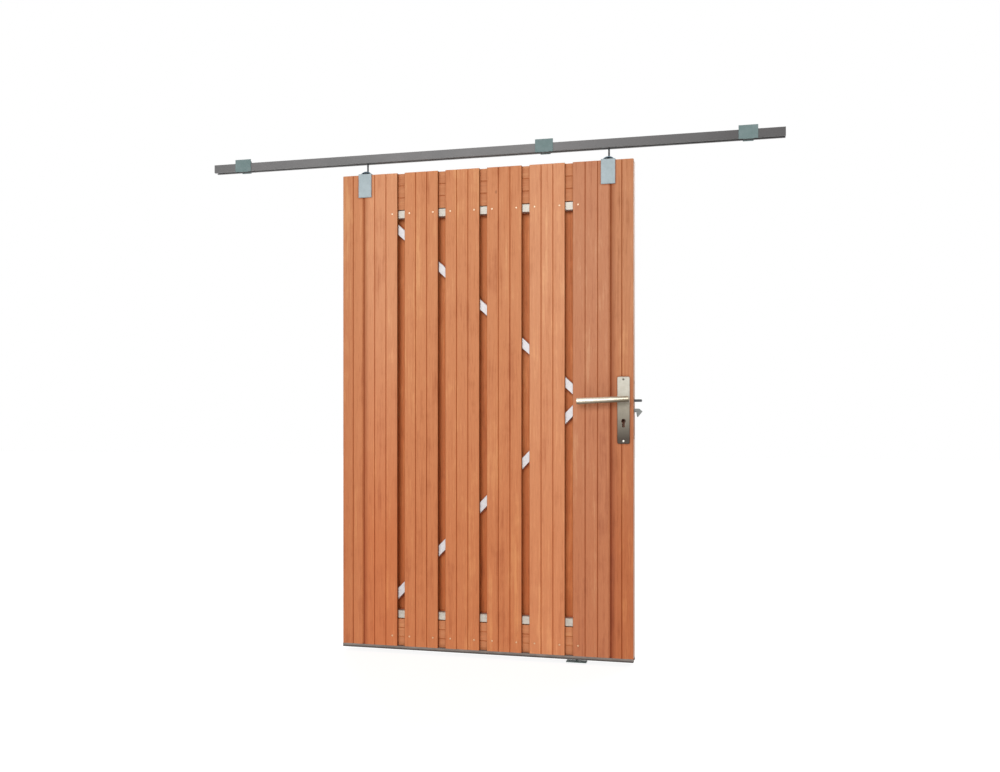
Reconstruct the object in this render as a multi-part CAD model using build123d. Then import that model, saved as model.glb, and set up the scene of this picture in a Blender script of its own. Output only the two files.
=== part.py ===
from build123d import *
import math
import os

# Sliding garden gate. Millimetres, X to the right along the rail, Y to the rear, Z up.
# The origin is the top face of the middle rail bracket, over the centre line of the rail.

# Leaf
leaf_width = 1200.0
leaf_height = 1950.0
leaf_offset = -246.0
board_thickness = 16.0
stile_board_width = 90.0
board_gap = 31.6
gap_count = 5
edge_board_width = 147.0
groove_half_width = 2.5
groove_depth = 2.5
joint_half_width = 7.0
joint_depth = 4.5
edge_chamfer = 2.0
back_overlap = 142.0

# Cutters reach this far past what they cut, and faces this near count as one place
cut_past = 1.0
same_place = 0.01

# Steel frame of the leaf
tube_size = 30.0
tube_wall = 2.0
top_tube_drop = 166.7
bottom_tube_rise = 141.6
plank_gap = 4.0
brace_upper_inset = 185.0
brace_lower_inset = 169.0
brace_meet_inset = 195.5
brace_meet_z = 45.9

# Channel under the leaf
channel_height = 14.0
channel_wall = 2.0

# Rail
rail_length = 2365.0
rail_left = -1445.0
rail_depth = 34.0
rail_height = 33.0
rail_wall = 2.5
rail_slot = 14.0
rail_to_leaf = 54.0

# Rail brackets
bracket_width = 72.0
bracket_body_width = 40.0
bracket_plate = 2.5
bracket_headroom = 13.5
bracket_fit = 0.3
bracket_lip = 5.0
bracket_inset = 136.0
bracket_hole_radius = 3.3
bracket_hole_spacing = 22.0

# Trolleys and hangers
hanger_inset = 98.0
wheel_radius = 11.0
wheel_clearance = 0.3
wheel_side_gap = 0.6
wheel_spacing = 46.0
axle_radius = 2.75
trolley_bar_height = 12.0
trolley_bar_margin = 5.0
hanger_bolt_radius = 4.0
bolt_gap = 0.5
hanger_width = 56.0
hanger_plate_height = 97.0
hanger_plate_thickness = 4.0
hanger_arch_width = 50.0
hanger_arch_height = 13.0
hanger_arch_wall = 3.0
hanger_arch_depth = 44.0
hanger_bolt_sunk = 30.0
nut_radius = 8.0
nut_height = 6.5

# Rail stops
stop_length = 25.0
stop_inset = 5.0
stop_fit = 0.3

# Floor guide
floor_gap = 16.0
guide_inset = 226.0
guide_length = 80.0
guide_depth = 30.0
guide_thickness = 4.0
guide_hole_spacing = 56.0
guide_hole_radius = 3.2
guide_roller_gap = 1.5
guide_roller_height = 12.0
guide_top_gap = 5.0
guide_pin_radius = 4.0

# Lock
backset = 38.0
spindle_rise = 44.0
keyhole_drop = 48.0
lock_case_depth = 85.0
case_above_spindle = 75.0
case_below_keyhole = 62.0
forend_thickness = 3.0
forend_width = 24.0
spindle_side = 7.0
spindle_gap = 0.3
keyhole_radius = 8.6
keyhole_slot = 10.4
keyhole_height = 33.0
hole_margin = 1.0
latch_reach = 30.0
latch_height = 10.0
latch_drop = 4.5
latch_tail_height = 11.5
latch_throw = 29.0
latch_tail_room = 5.0
latch_rounding = 3.3
latch_depth = 12.0
latch_gap = 1.0
latch_tail_gap = 0.5
hook_pivot_inset = 14.0
hook_pivot_z = 1.2
hook_pin_radius = 4.0
pin_gap = 0.05
hook_eye_radius = 10.0
hook_depth = 10.0
hook_reach = 32.0
hook_nose_x = 20.0
hook_nose_z = -3.8
hook_tip = 3.0
hook_shank_top = 7.2
hook_shank_bottom = -7.0
hook_beak_x = 11.5
hook_beak_z = -25.5
hook_lift = 28.0

# Handle
plate_width = 48.0
plate_rise = 2.0
plate_height = 260.0
plate_thickness = 6.0
plate_gap = 0.5
plate_corner = 6.0
plate_bevel = 2.0
neck_radius = 9.0
lever_gap = 34.0
lever_radius = 11.0
lever_end_radius = 12.5
lever_reach = 176.0
lever_overhang = 27.0
lever_rounding = 3.0
lever_droop = 2.4

# Derived positions
leaf_top = -bracket_plate - bracket_headroom - rail_height - rail_to_leaf
leaf_bottom = leaf_top - leaf_height
leaf_mid = (leaf_top + leaf_bottom) / 2
floor_z = leaf_bottom - floor_gap
leaf_left = leaf_offset - leaf_width / 2
leaf_right = leaf_offset + leaf_width / 2
half_tube = tube_size / 2
leaf_front = -half_tube - board_thickness
leaf_rear = half_tube + board_thickness
rail_top = -bracket_plate - bracket_headroom
rail_bottom = rail_top - rail_height
rail_right = rail_left + rail_length
top_tube_z = leaf_top - top_tube_drop
bottom_tube_z = leaf_bottom + bottom_tube_rise
channel_top = leaf_bottom + channel_height
inner_left = leaf_left + tube_size
inner_right = leaf_right - tube_size
middle_board_count = gap_count - 1
middle_span = leaf_width - 2 * stile_board_width - 2 * edge_board_width - gap_count * board_gap
middle_board_width = middle_span / middle_board_count
spindle_x = leaf_right - backset
spindle_z = leaf_mid + spindle_rise
keyhole_z = leaf_mid - keyhole_drop
hanger_reach = leaf_width / 2 - hanger_inset
guide_x = leaf_right - guide_inset
bracket_left_x = rail_left + bracket_inset
bracket_right_x = rail_right - bracket_inset
case_top = spindle_z + case_above_spindle
case_bottom = keyhole_z - case_below_keyhole
case_left = leaf_right - forend_thickness - lock_case_depth
case_right = leaf_right - forend_thickness
hook_pivot_x = leaf_right - hook_pivot_inset
hook_z = leaf_mid + hook_pivot_z
spindle_corner = spindle_side / math.sqrt(2)


def block(x0, x1, y0, y1, z0, z1):
    # A box between two corners
    size = Box(x1 - x0, y1 - y0, z1 - z0)
    return Pos((x0 + x1) / 2, (y0 + y1) / 2, (z0 + z1) / 2) * size


def rod_y(x, z, y0, y1, radius):
    # A round rod along Y
    rod = Rot(90, 0, 0) * Cylinder(radius, y1 - y0)
    return Pos(x, (y0 + y1) / 2, z) * rod


def rod_z(x, y, z0, z1, radius):
    # A round rod along Z
    return Pos(x, y, (z0 + z1) / 2) * Cylinder(radius, z1 - z0)


def tube_along_x(x0, x1, z):
    # A square frame tube along X, open at its ends
    outer = block(x0, x1, -half_tube, half_tube, z - half_tube, z + half_tube)
    bore = half_tube - tube_wall
    return outer - block(x0, x1, -bore, bore, z - bore, z + bore)


def tube_along_z(x, z0, z1):
    # A square frame tube along Z, open at its ends
    outer = block(x - half_tube, x + half_tube, -half_tube, half_tube, z0, z1)
    bore = half_tube - tube_wall
    return outer - block(x - bore, x + bore, -bore, bore, z0, z1)


def brace(x0, z0, x1, z1):
    # A square tube along a slanted line, longer than needed at both ends
    length = math.hypot(x1 - x0, z1 - z0) + 4 * tube_size
    angle = math.degrees(math.atan2(z1 - z0, x1 - x0))
    bore = tube_size - 2 * tube_wall
    bar = Box(length, tube_size, tube_size) - Box(length, bore, bore)
    return Pos((x0 + x1) / 2, 0, (z0 + z1) / 2) * Rot(0, -angle, 0) * bar


def vee_along_z(x, y, inwards, half_width, depth):
    # A V-shaped cutter along Z in a board face at y, inwards is +1 or -1
    points = [(x - half_width, y), (x + half_width, y), (x, y + inwards * depth)]
    outline = Pos(0, 0, channel_top - cut_past) * Polygon(*points, align=None)
    return extrude(outline, leaf_top - channel_top + 2 * cut_past, dir=(0, 0, 1))


def vee_along_x(z, y, inwards):
    # A V-shaped cutter along X in a plank face at y
    points = [(y, z - groove_half_width), (y, z + groove_half_width), (y + inwards * groove_depth, z)]
    outline = Plane.YZ * Polygon(*points, align=None)
    length = inner_right - inner_left + 2 * cut_past
    return Pos(inner_left - cut_past, 0, 0) * extrude(outline, length, dir=(1, 0, 0))


def board(x0, x1, face, inside, grooves, joints=()):
    # A vertical board with V grooves, chamfered outer edges and wider bevels at its joints
    low = min(face, inside)
    high = max(face, inside)
    inwards = math.copysign(1, inside - face)
    plank = block(x0, x1, low, high, channel_top, leaf_top)
    outer = plank.edges().filter_by(Axis.Z).filter_by(lambda e: abs(e.center().Y - face) < same_place)
    plank = chamfer(outer, edge_chamfer)
    pitch = (x1 - x0) / (grooves + 1)
    for index in range(grooves):
        x = x0 + pitch * (index + 1)
        plank = plank - vee_along_z(x, face, inwards, groove_half_width, groove_depth)
    for x in joints:
        plank = plank - vee_along_z(x, face, inwards, joint_half_width, joint_depth)
    return plank


def filler(z0, z1):
    # A thick plank between the boards with level grooves on both faces
    plank = block(inner_left, inner_right, -half_tube, half_tube, z0, z1)
    pitch = (z1 - z0) / 3
    for index in range(2):
        z = z0 + pitch * (index + 1)
        for face in (-half_tube, half_tube):
            plank = plank - vee_along_x(z, face, math.copysign(1, -face))
    return plank


def make_rail():
    # The C-shaped rail with its slot at the bottom
    half = rail_depth / 2
    outer = block(rail_left, rail_right, -half, half, rail_bottom, rail_top)
    inner = half - rail_wall
    floor_level = rail_bottom + rail_wall
    hollow = block(rail_left, rail_right, -inner, inner, floor_level, rail_top - rail_wall)
    slot = block(rail_left, rail_right, -rail_slot / 2, rail_slot / 2, rail_bottom, floor_level)
    return outer - hollow - slot


def make_bracket(x):
    # A bracket around the rail: broad front plate, narrower top and rear, bolt holes in the top
    half = rail_depth / 2 + bracket_fit
    outer = half + bracket_plate
    bottom = rail_bottom - bracket_plate
    x0 = x - bracket_body_width / 2
    x1 = x + bracket_body_width / 2
    body = block(x0, x1, -half, outer, bottom, 0)
    front = block(x - bracket_width / 2, x + bracket_width / 2, -outer, -half, bottom, 0)
    front = fillet(front.faces().sort_by(Axis.Y)[0].edges(), bracket_plate / 2)
    inside = block(x0, x1, -half, half, rail_bottom, -bracket_plate)
    mouth_half = half - bracket_lip
    mouth = block(x0, x1, -mouth_half, mouth_half, bottom, rail_bottom)
    part = front + (body - inside - mouth)
    for side in (-1, 1):
        hole_x = x + side * bracket_hole_spacing / 2
        part = part - rod_z(hole_x, 0, -bracket_plate - cut_past, cut_past, bracket_hole_radius)
    return part


def make_stop(x0, x1):
    # A stop block inside the rail
    half = rail_depth / 2 - rail_wall - stop_fit
    low = rail_bottom + rail_wall + stop_fit
    high = rail_top - rail_wall - stop_fit
    return block(x0, x1, -half, half, low, high)


def make_trolley(x):
    # Four wheels on two axles with a bar between them
    inner = rail_depth / 2 - rail_wall
    wheel_z = rail_bottom + rail_wall + wheel_clearance + wheel_radius
    wheel_outer = inner - wheel_side_gap
    wheel_inner = rail_slot / 2 + wheel_side_gap
    half_bar = wheel_inner - wheel_side_gap * 2
    reach = wheel_spacing / 2 + trolley_bar_margin
    half_height = trolley_bar_height / 2
    part = block(x - reach, x + reach, -half_bar, half_bar, wheel_z - half_height, wheel_z + half_height)
    for side in (-1, 1):
        wheel_x = x + side * wheel_spacing / 2
        part = part + rod_y(wheel_x, wheel_z, -wheel_outer, wheel_outer, axle_radius)
        for hand in (-1, 1):
            y0 = min(hand * wheel_inner, hand * wheel_outer)
            y1 = max(hand * wheel_inner, hand * wheel_outer)
            part = part + rod_y(wheel_x, wheel_z, y0, y1, wheel_radius)
    return part - rod_z(x, 0, wheel_z - half_height, wheel_z + half_height, hanger_bolt_radius)


def make_hanger_bolt(x):
    # The hanging bolt with a nut on the hanger plate and one below the rail
    wheel_z = rail_bottom + rail_wall + wheel_clearance + wheel_radius
    bolt_top = wheel_z + trolley_bar_height / 2
    flange_top = leaf_top + hanger_plate_thickness
    part = rod_z(x, 0, leaf_top - hanger_bolt_sunk, bolt_top, hanger_bolt_radius)
    hexagon = extrude(RegularPolygon(nut_radius, 6), nut_height)
    part = part + Pos(x, 0, flange_top) * hexagon
    return part


def make_hanger_plate(x):
    # An angle plate over the top of the leaf, with the hole for the bolt
    x0 = x - hanger_width / 2
    x1 = x + hanger_width / 2
    front = leaf_front - hanger_plate_thickness
    top = leaf_top + hanger_plate_thickness
    bottom = top - hanger_plate_height
    apron = block(x0, x1, front, leaf_front, bottom, top)
    flange = block(x0, x1, leaf_front, leaf_rear, leaf_top, top)
    part = apron + flange
    return part - rod_z(x, 0, leaf_top - cut_past, top + cut_past, hanger_bolt_radius + bolt_gap)


def make_hanger_arch(x):
    # The low arched strap over the nut on the angle plate
    base = leaf_top + hanger_plate_thickness
    half = hanger_arch_width / 2
    rise = hanger_arch_height
    radius = (half * half + rise * rise) / (2 * rise)
    centre = base + rise - radius
    y = hanger_arch_depth / 2
    ring = rod_y(x, centre, -y, y, radius) - rod_y(x, centre, -y, y, radius - hanger_arch_wall)
    strap = ring & block(x - half, x + half, -y, y, base, base + rise)
    return strap - rod_z(x, 0, base, base + rise + cut_past, hanger_bolt_radius + bolt_gap)


def make_guide_base():
    # The floor plate of the guide with its pin and two screw holes
    x = guide_x
    top = floor_z + guide_thickness
    half_y = guide_depth / 2
    part = block(x - guide_length / 2, x + guide_length / 2, -half_y, half_y, floor_z, top)
    part = part + rod_z(x, 0, top, guide_roller_bottom() + guide_roller_height, guide_pin_radius)
    for side in (-1, 1):
        hole_x = x + side * guide_hole_spacing / 2
        part = part - rod_z(hole_x, 0, floor_z - cut_past, top + cut_past, guide_hole_radius)
    return part


def guide_roller_bottom():
    # Height of the roller's underside
    return channel_top - channel_wall - guide_top_gap - guide_roller_height


def make_guide_roller():
    # The roller that runs in the channel under the leaf
    x = guide_x
    low = guide_roller_bottom()
    radius = half_tube - channel_wall - guide_roller_gap
    body = rod_z(x, 0, low, low + guide_roller_height, radius)
    return body - rod_z(x, 0, low, low + guide_roller_height, guide_pin_radius + pin_gap)


def make_channel():
    # The profile under the boards with four ribs below, the guide runs between the inner two
    part = block(leaf_left, leaf_right, leaf_front, leaf_rear, leaf_bottom, channel_top)
    high = channel_top - channel_wall
    bore = half_tube - channel_wall
    outer_rib = leaf_rear - channel_wall
    for y0, y1 in ((-outer_rib, -half_tube), (-bore, bore), (half_tube, outer_rib)):
        part = part - block(leaf_left, leaf_right, y0, y1, leaf_bottom, high)
    return part


def keyhole(y0, y1, grow):
    # The key-shaped opening of the lock cylinder as a cutter along Y
    top = keyhole_z + keyhole_height / 2
    radius = keyhole_radius + grow
    round_part = rod_y(spindle_x, top - keyhole_radius, y0, y1, radius)
    half = keyhole_slot / 2 + grow
    foot = keyhole_z - keyhole_height / 2
    slot_part = block(spindle_x - half, spindle_x + half, y0, y1, foot - grow, top - keyhole_radius)
    return round_part + slot_part


def make_lock_case():
    # The hollow lock case, open towards the forend, with the hook's pin inside
    part = block(case_left, case_right, -half_tube, half_tube, case_bottom, case_top)
    wall = tube_wall
    inner = half_tube - wall
    part = part - block(case_left + wall, case_right, -inner, inner, case_bottom + wall, case_top - wall)
    part = part - rod_y(spindle_x, spindle_z, -half_tube, half_tube, neck_radius + hole_margin)
    part = part - keyhole(-half_tube, 0, 0)
    return part + rod_y(hook_pivot_x, hook_z, -inner, inner, hook_pin_radius)


def make_forend():
    # The face plate in the edge of the leaf with slots for latch and hook
    half = forend_width / 2
    part = block(case_right, leaf_right, -half, half, case_bottom, case_top)
    y = latch_depth / 2 + latch_gap
    z = latch_height / 2 + latch_gap
    latch_z = spindle_z - latch_drop
    part = part - block(case_right, leaf_right, -y, y, latch_z - z, latch_z + z)
    y = hook_depth / 2 + latch_gap
    lift = hook_pivot_inset * math.tan(math.radians(hook_lift))
    high = hook_z + lift + hook_shank_top / math.cos(math.radians(hook_lift)) + latch_gap
    low = hook_z + hook_shank_bottom - latch_gap
    return part - block(case_right, leaf_right, -y, y, low, high)


def make_latch():
    # The latch bar with a lower tail that passes under the spindle
    half = latch_height / 2
    depth = latch_depth / 2
    bar_z = spindle_z - latch_drop
    tail_top = spindle_z - spindle_corner - latch_tail_gap
    tail_low = tail_top - latch_tail_height
    tail_left = case_left + tube_wall + latch_throw + latch_tail_room
    step = case_right - latch_tail_gap
    tail = block(tail_left, step, -depth, depth, tail_low, tail_top)
    bar = block(step, leaf_right + latch_reach, -depth, depth, bar_z - half, bar_z + half)
    ends = bar.edges().filter_by(Axis.Y).filter_by(lambda e: e.center().X > leaf_right)
    return tail + fillet(ends, latch_rounding)


def make_hook():
    # The hook bolt around its pivot, with a slanted nose and a beak below
    x = hook_pivot_x
    edge = leaf_right
    points = [
        (x, hook_z + hook_shank_top),
        (edge + hook_nose_x, hook_z + hook_shank_top),
        (edge + hook_reach, hook_z + hook_nose_z),
        (edge + hook_beak_x + hook_tip, hook_z + hook_beak_z),
        (edge + hook_beak_x, hook_z + hook_beak_z),
        (edge + hook_beak_x - hook_tip, hook_z + hook_shank_bottom),
        (x, hook_z + hook_shank_bottom),
    ]
    outline = Plane.XZ * Polygon(*points, align=None)
    half = hook_depth / 2
    part = extrude(outline, half, both=True)
    part = part + rod_y(x, hook_z, -half, half, hook_eye_radius)
    return part - rod_y(x, hook_z, -half, half, hook_pin_radius + pin_gap)


def make_backplate(hand):
    # The long plate on one face of the leaf, hand -1 in front with the keyhole and 1 behind without
    inner = hand * leaf_rear
    outer = hand * (leaf_rear + plate_thickness)
    low = min(inner, outer)
    high = max(inner, outer)
    half_width = plate_width / 2
    half_height = plate_height / 2
    x = spindle_x
    middle = leaf_mid + plate_rise
    part = block(x - half_width, x + half_width, low, high, middle - half_height, middle + half_height)
    upright = part.edges().filter_by(Axis.Y)
    part = fillet(upright, plate_corner)
    rim = part.faces().filter_by(lambda f: abs(f.center().Y - outer) < same_place).edges()
    part = chamfer(rim, plate_bevel)
    part = part - rod_y(x, spindle_z, low - cut_past, high + cut_past, neck_radius + plate_gap)
    if hand > 0:
        return part
    return part - keyhole(low - cut_past, high + cut_past, 0)


def make_lever(hand):
    # The lever on one face of the leaf with a round neck and a square socket
    plate_face = leaf_rear + plate_thickness
    grip_y = plate_face + lever_gap + lever_radius
    y0 = min(hand * leaf_rear, hand * grip_y)
    y1 = max(hand * leaf_rear, hand * grip_y)
    part = rod_y(spindle_x, spindle_z, y0, y1, neck_radius)
    length = lever_reach + lever_overhang
    grip = Cone(lever_radius, lever_end_radius, length)
    ends = grip.edges().filter_by(GeomType.CIRCLE)
    grip = fillet(ends, lever_rounding)
    centre_x = (lever_overhang - lever_reach) / 2
    grip = Pos(centre_x, 0, 0) * Rot(0, -90, 0) * grip
    part = part + Pos(spindle_x, hand * grip_y, spindle_z) * Rot(0, -lever_droop, 0) * grip
    depth = plate_thickness + lever_gap / 2
    s0 = min(hand * leaf_rear, hand * (leaf_rear + depth))
    s1 = max(hand * leaf_rear, hand * (leaf_rear + depth))
    half = spindle_side / 2
    return part - block(spindle_x - half, spindle_x + half, s0, s1, spindle_z - half, spindle_z + half)


def make_spindle():
    # The square spindle that joins both levers
    reach = leaf_rear + plate_thickness + lever_gap / 2
    half = spindle_side / 2
    return block(spindle_x - half, spindle_x + half, -reach, reach, spindle_z - half, spindle_z + half)


def spindle_cut(piece, y0, y1):
    # Opens a board for the neck of a lever
    return piece - rod_y(spindle_x, spindle_z, y0 - cut_past, y1 + cut_past, neck_radius + hole_margin)


def front_edges():
    # Left and right edge of each front board between the stile boards
    edges = []
    x = leaf_left + stile_board_width
    edges.append((x, x + edge_board_width))
    x = x + edge_board_width + board_gap
    for index in range(middle_board_count):
        edges.append((x, x + middle_board_width))
        x = x + middle_board_width + board_gap
    edges.append((x, x + edge_board_width))
    return edges


def back_edges():
    # Left and right edge of each back board, centred behind the front gaps
    fronts = front_edges()
    edges = []
    for index in range(gap_count):
        centre = (fronts[index][1] + fronts[index + 1][0]) / 2
        edges.append((centre - back_overlap / 2, centre + back_overlap / 2))
    first = (leaf_left, edges[0][0] - board_gap)
    last = (edges[-1][1] + board_gap, leaf_right)
    return [first] + edges + [last]


def make_boards():
    # All vertical boards of the leaf by name
    boards = {}
    face = leaf_front
    inside = -half_tube
    x = leaf_left + stile_board_width
    boards["front_stile_left"] = board(leaf_left, x, face, inside, 1, (x,))
    far_x = leaf_right - stile_board_width
    right = spindle_cut(board(far_x, leaf_right, face, inside, 1, (far_x,)), face, inside)
    boards["front_stile_right"] = right - keyhole(face - cut_past, inside + cut_past, hole_margin)
    for index, pair in enumerate(front_edges()):
        joints = [edge for edge in pair if min(abs(edge - x), abs(edge - far_x)) < same_place]
        boards["front_board_" + str(index + 1)] = board(pair[0], pair[1], face, inside, 2, joints)
    backs = back_edges()
    for index, pair in enumerate(backs):
        piece = board(pair[0], pair[1], leaf_rear, half_tube, 2)
        if index == len(backs) - 1:
            piece = spindle_cut(piece, half_tube, leaf_rear)
        boards["back_board_" + str(index + 1)] = piece
    return boards


def make_braces():
    # Two slanted tubes that meet at a short tie beside the lock case
    meet_x = leaf_right - brace_meet_inset
    meet_z = leaf_mid + brace_meet_z
    under = top_tube_z - half_tube
    above = bottom_tube_z + half_tube
    upper = brace(leaf_left + brace_upper_inset, under, meet_x, meet_z)
    upper = upper & block(inner_left, meet_x, -half_tube, half_tube, meet_z, under)
    lower = brace(leaf_left + brace_lower_inset, above, meet_x, meet_z)
    lower = lower & block(inner_left, meet_x, -half_tube, half_tube, above, meet_z)
    tie = tube_along_x(meet_x, case_left, meet_z)
    return {"brace_upper": upper, "brace_lower": lower, "brace_tie": tie}


def make_frame():
    # The level and upright tubes of the leaf
    tubes = {}
    left_x = leaf_left + half_tube
    right_x = leaf_right - half_tube
    tubes["frame_top_tube"] = tube_along_x(inner_left, inner_right, top_tube_z)
    tubes["frame_bottom_tube"] = tube_along_x(inner_left, inner_right, bottom_tube_z)
    tubes["frame_left_stile"] = tube_along_z(left_x, channel_top, leaf_top)
    tubes["frame_right_stile_upper"] = tube_along_z(right_x, case_top, leaf_top)
    tubes["frame_right_stile_lower"] = tube_along_z(right_x, channel_top, case_bottom)
    return tubes


def bore_for_bolts(plank):
    # Clears the two hanging bolts in the top plank
    for side in (-1, 1):
        x = leaf_offset + side * hanger_reach
        low = leaf_top - hanger_bolt_sunk - hole_margin
        plank = plank - rod_z(x, 0, low, leaf_top + cut_past, hanger_bolt_radius + hole_margin)
    return plank


def make_all():
    # Every piece of the gate by node name
    parts = {"rail": make_rail()}
    parts["bracket_left"] = make_bracket(bracket_left_x)
    parts["bracket_middle"] = make_bracket(0)
    parts["bracket_right"] = make_bracket(bracket_right_x)
    left_end = rail_left + stop_inset
    right_end = rail_right - stop_inset
    parts["rail_stop_left"] = make_stop(left_end, left_end + stop_length)
    parts["rail_stop_right"] = make_stop(right_end - stop_length, right_end)
    parts["floor_guide_base"] = make_guide_base()
    parts["floor_guide_roller"] = make_guide_roller()
    parts.update(make_frame())
    parts.update(make_braces())
    top_low = top_tube_z + half_tube + plank_gap
    parts["top_plank"] = bore_for_bolts(filler(top_low, leaf_top))
    bottom_high = bottom_tube_z - half_tube - plank_gap
    parts["bottom_plank"] = filler(channel_top, bottom_high)
    parts["bottom_channel"] = make_channel()
    parts.update(make_boards())
    for name, side in (("left", -1), ("right", 1)):
        x = leaf_offset + side * hanger_reach
        parts["hanger_plate_" + name] = make_hanger_plate(x)
        parts["hanger_arch_" + name] = make_hanger_arch(x)
        parts["hanger_bolt_" + name] = make_hanger_bolt(x)
        parts["trolley_" + name] = make_trolley(x)
    parts["lock_case"] = make_lock_case()
    parts["lock_forend"] = make_forend()
    parts["backplate_front"] = make_backplate(-1)
    parts["backplate_rear"] = make_backplate(1)
    parts["lever_front"] = make_lever(-1)
    parts["lever_rear"] = make_lever(1)
    parts["spindle"] = make_spindle()
    parts["latch_bolt"] = make_latch()
    parts["hook_bolt"] = make_hook()
    return parts


os.makedirs("parts", exist_ok=True)
for name, solid in make_all().items():
    export_step(solid, "parts/" + name + ".step")
    box = solid.bounding_box()
    print(name, len(solid.solids()), [round(v, 1) for v in (*box.min, *box.max)])
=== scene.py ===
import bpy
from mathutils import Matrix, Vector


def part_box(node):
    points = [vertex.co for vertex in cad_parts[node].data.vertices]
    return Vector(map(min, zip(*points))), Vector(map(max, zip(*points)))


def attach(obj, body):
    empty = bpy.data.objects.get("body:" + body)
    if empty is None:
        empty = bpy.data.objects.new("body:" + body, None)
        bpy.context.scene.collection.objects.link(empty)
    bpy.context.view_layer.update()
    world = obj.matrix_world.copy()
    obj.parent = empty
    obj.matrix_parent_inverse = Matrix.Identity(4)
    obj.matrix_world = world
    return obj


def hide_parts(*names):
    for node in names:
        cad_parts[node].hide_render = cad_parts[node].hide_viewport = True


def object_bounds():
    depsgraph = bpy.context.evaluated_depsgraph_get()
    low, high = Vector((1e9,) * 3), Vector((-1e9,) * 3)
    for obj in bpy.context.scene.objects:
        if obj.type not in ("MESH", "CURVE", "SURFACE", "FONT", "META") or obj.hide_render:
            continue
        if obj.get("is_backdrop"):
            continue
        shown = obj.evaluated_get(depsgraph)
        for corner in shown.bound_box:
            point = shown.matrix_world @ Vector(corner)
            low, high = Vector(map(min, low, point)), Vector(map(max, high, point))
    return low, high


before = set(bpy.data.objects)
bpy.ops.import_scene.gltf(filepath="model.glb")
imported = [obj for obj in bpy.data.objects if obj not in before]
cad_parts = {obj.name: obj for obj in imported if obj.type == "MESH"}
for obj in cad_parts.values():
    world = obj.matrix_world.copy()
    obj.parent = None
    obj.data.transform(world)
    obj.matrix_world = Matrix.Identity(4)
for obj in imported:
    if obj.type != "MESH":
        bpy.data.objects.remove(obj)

"""The looks of a sliding garden gate: hardwood boards, galvanised frame, overhead rail and lock.

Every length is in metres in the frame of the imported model: X to the right along the rail,
Y to the rear and Z up, with the origin on the top face of the middle rail bracket.
"""

import logging
import math
from dataclasses import dataclass
from enum import Enum
from typing import Callable, Iterable, Sequence

import bmesh
import bpy
from bpy.types import Material, Node, NodeSocket, NodeTree, Object
from mathutils import Vector

logging.basicConfig(level=logging.INFO, format="%(message)s")
LOG = logging.getLogger("gate")

MM = 0.001
IMAGE_WIDTH = 1000
SMOOTH_ANGLE = math.radians(35)
SAME_PLACE = 1e-6
Triple = tuple[float, float, float]


class Axis(Enum):
    """The direction of a plank's grain, of a fade or of a piece that is laid down."""

    X = "x"
    Y = "y"
    Z = "z"


def linear(hex_colour: str) -> tuple[float, float, float, float]:
    """Turns an sRGB hex colour to linear light.

    Args:
        hex_colour: Six hex digits, red first.

    Returns:
        Linear red, green, blue and an alpha of 1.
    """
    channels = []
    for start in (0, 2, 4):
        value = int(hex_colour[start:start + 2], 16) / 255
        channels.append(value / 12.92 if value <= 0.04045 else ((value + 0.055) / 1.055) ** 2.4)
    return (channels[0], channels[1], channels[2], 1.0)


def add_node(tree: NodeTree, kind: str, links: dict | None = None,
             stops: Sequence[tuple[float, str]] = (), **settings) -> Node:
    """Adds one shader node with its settings and links.

    Args:
        tree: The node tree to add to.
        kind: The node's type name, such as ShaderNodeTexNoise.
        links: Input name or number to a value, or to the output socket that feeds it.
        stops: Positions and hex colours of a colour ramp, in rising order.
        settings: Properties set on the node itself.

    Returns:
        The new node.
    """
    node = tree.nodes.new(kind)
    for name, value in settings.items():
        setattr(node, name, value)
    for key, value in (links or {}).items():
        socket = node.inputs[key]
        if isinstance(value, NodeSocket):
            tree.links.new(value, socket)
        else:
            socket.default_value = value
    for index, (position, colour) in enumerate(stops):
        elements = node.color_ramp.elements
        element = elements[index] if index < len(elements) else elements.new(position)
        element.position = position
        element.color = linear(colour)
    return node


@dataclass(frozen=True)
class Fade:
    """How a finish darkens from one place to another along an axis, mostly as painted shade."""

    axis: Axis
    start: float
    end: float
    tint: str


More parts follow.
